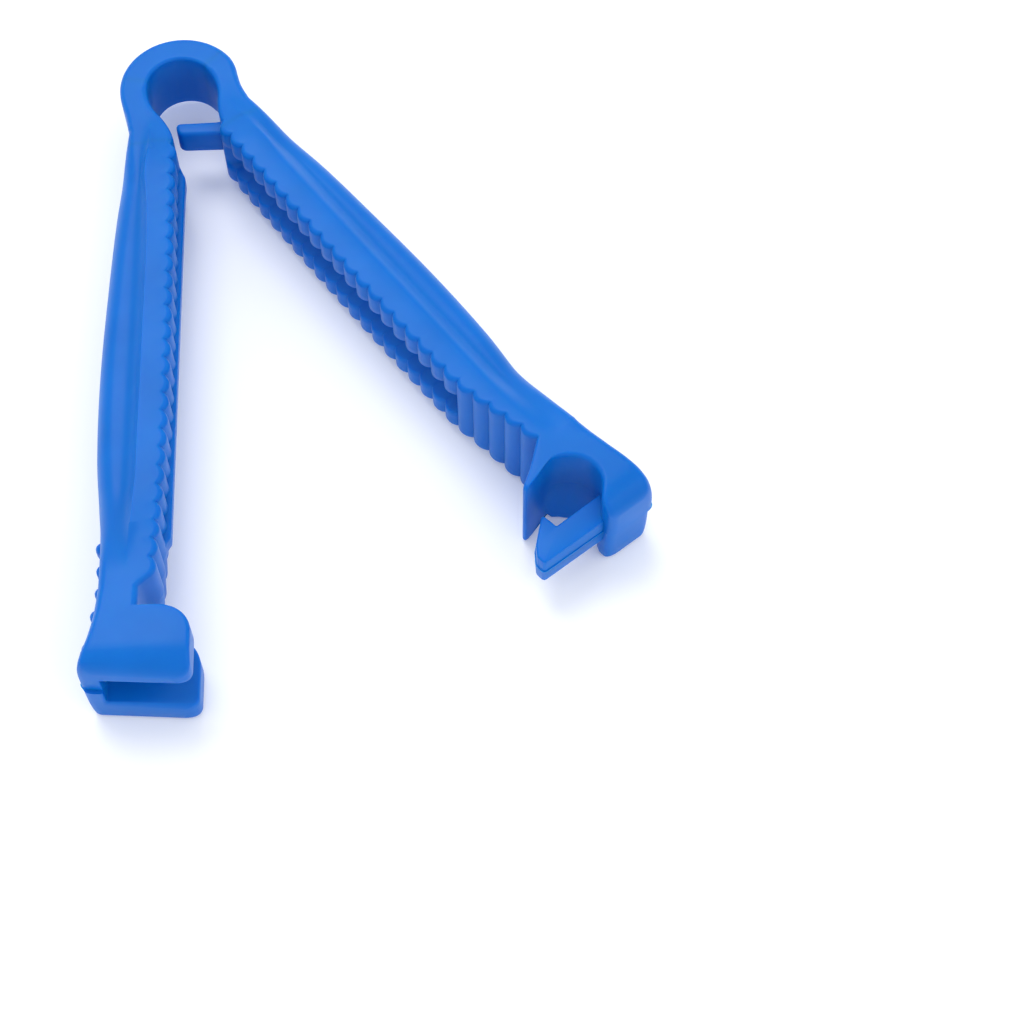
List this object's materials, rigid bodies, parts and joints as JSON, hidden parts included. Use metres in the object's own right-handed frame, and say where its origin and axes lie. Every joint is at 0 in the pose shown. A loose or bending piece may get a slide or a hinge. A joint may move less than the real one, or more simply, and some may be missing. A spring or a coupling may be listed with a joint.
{
  "type": "bag clip",
  "caption": "One-piece sprung bag clip with toothed jaws, a barbed latch hook, a slotted catch box, ribbed thumb pads and a hinge loop.",
  "frame": {"origin": "axis of the hinge loop, at the level of the side face that the open clip lies on", "axes": "+Z along the hinge axis, up from the face it lies on; the catch arm runs along -Y; the hook arm opens towards +X"},
  "size_m": [0.0419, 0.0592, 0.0084],
  "materials": {
    "clip_plastic": "satin moulded polypropylene, slightly translucent blue"
  },
  "bodies": {
    "catch_arm": {"catch_cheek_lower": "clip_plastic", "catch_cheek_upper": "clip_plastic", "catch_jaw": "clip_plastic", "catch_ledge": "clip_plastic", "catch_root": "clip_plastic", "catch_spine": "clip_plastic", "catch_teeth_lower": "clip_plastic", "catch_teeth_upper": "clip_plastic", "catch_thumb_pad": "clip_plastic", "catch_tongue": "clip_plastic"},
    "catch_loop": {"catch_loop_half": "clip_plastic"},
    "hook_loop": {"hook_loop_half": "clip_plastic"},
    "hook_arm": {"guard_finger": "clip_plastic", "hook_end_teeth": "clip_plastic", "hook_jaw": "clip_plastic", "hook_root": "clip_plastic", "hook_side_tooth": "clip_plastic", "hook_spine": "clip_plastic", "hook_teeth_lower": "clip_plastic", "hook_teeth_upper": "clip_plastic", "hook_thumb_pad": "clip_plastic", "latch_hook": "clip_plastic"}
  },
  "joints": [
    {"name": "catch_neck_flex", "type": "hinge", "parent": "catch_arm", "child": "catch_loop", "pos_m": [-0.00314, -0.0034, 0.0042], "axis": [0, 0, -1], "range_deg": [-1, 14], "stiffness_Nm_per_rad": 1},
    {"name": "crown_flex", "type": "hinge", "parent": "catch_loop", "child": "hook_loop", "pos_m": [-0.00117, 0.00359, 0.0042], "axis": [0, 0, -1], "range_deg": [-0.6, 8.05]},
    {"name": "hook_neck_flex", "type": "hinge", "parent": "hook_loop", "child": "hook_arm", "pos_m": [0.00454, -0.00091, 0.0042], "axis": [0, 0, -1], "range_deg": [-1.05, 14.05], "deforming": ["latch_hook"]}
  ],
  "couplings": [
    {"joint": "crown_flex", "follows": "catch_neck_flex", "ratio": 0.57143},
    {"joint": "hook_neck_flex", "follows": "catch_neck_flex", "ratio": 1}
  ]
}
